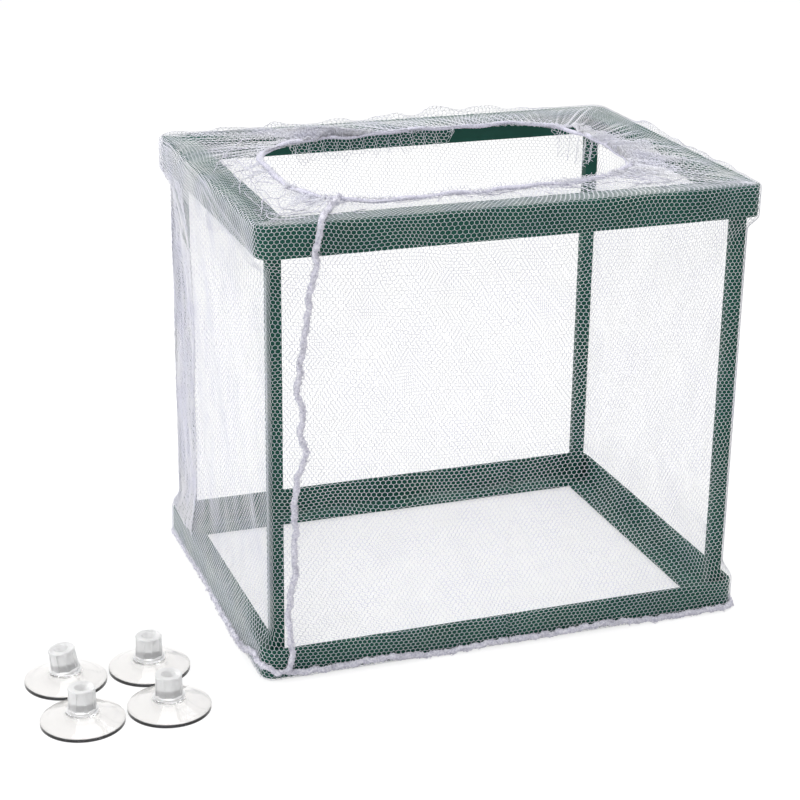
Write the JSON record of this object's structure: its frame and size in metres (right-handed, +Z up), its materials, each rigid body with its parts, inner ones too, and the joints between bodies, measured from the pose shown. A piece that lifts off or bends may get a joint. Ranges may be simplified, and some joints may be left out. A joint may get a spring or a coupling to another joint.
{
  "type": "fish breeding box",
  "caption": "Fish breeding box: green plastic frame of rings and square posts inside a white hexagonal net bag with an elastic mouth, with loose clear suction cups.",
  "frame": {"origin": "centre of the underside of the box's netted floor", "axes": "+Z up, +X to the right along the box's width, -Y towards the front, where the side net's seam is"},
  "size_m": [0.2454, 0.151, 0.1571],
  "materials": {
    "green_plastic": "satin moulded plastic",
    "net": "white knitted nylon mesh",
    "seam_thread": "overlocked white thread",
    "elastic": "gathered net over an elastic cord",
    "clear_pvc": "clear soft moulding"
  },
  "bodies": {
    "breeding_box": {"top_frame": "green_plastic", "bottom_frame": "green_plastic", "post_front_left": "green_plastic", "post_front_right": "green_plastic", "post_back_left": "green_plastic", "post_back_right": "green_plastic", "net_front": "net", "net_back": "net", "net_left": "net", "net_right": "net", "net_top": "net", "net_floor": "net", "side_seam": "seam_thread", "bottom_seam": "seam_thread", "mouth_elastic": "elastic", "mouth_frill": "net"},
    "suction_cup_1": {"suction_cup_1": "clear_pvc"},
    "suction_cup_2": {"suction_cup_2": "clear_pvc"},
    "suction_cup_3": {"suction_cup_3": "clear_pvc"},
    "suction_cup_4": {"suction_cup_4": "clear_pvc"}
  },
  "joints": [
    {"name": "lift_suction_cup_1", "type": "slide", "parent": "breeding_box", "child": "suction_cup_1", "axis": [0, 0, 1], "range_m": [0, 0.06]},
    {"name": "lift_suction_cup_2", "type": "slide", "parent": "breeding_box", "child": "suction_cup_2", "axis": [0, 0, 1], "range_m": [0, 0.06]},
    {"name": "lift_suction_cup_3", "type": "slide", "parent": "breeding_box", "child": "suction_cup_3", "axis": [0, 0, 1], "range_m": [0, 0.06]},
    {"name": "lift_suction_cup_4", "type": "slide", "parent": "breeding_box", "child": "suction_cup_4", "axis": [0, 0, 1], "range_m": [0, 0.06]}
  ]
}
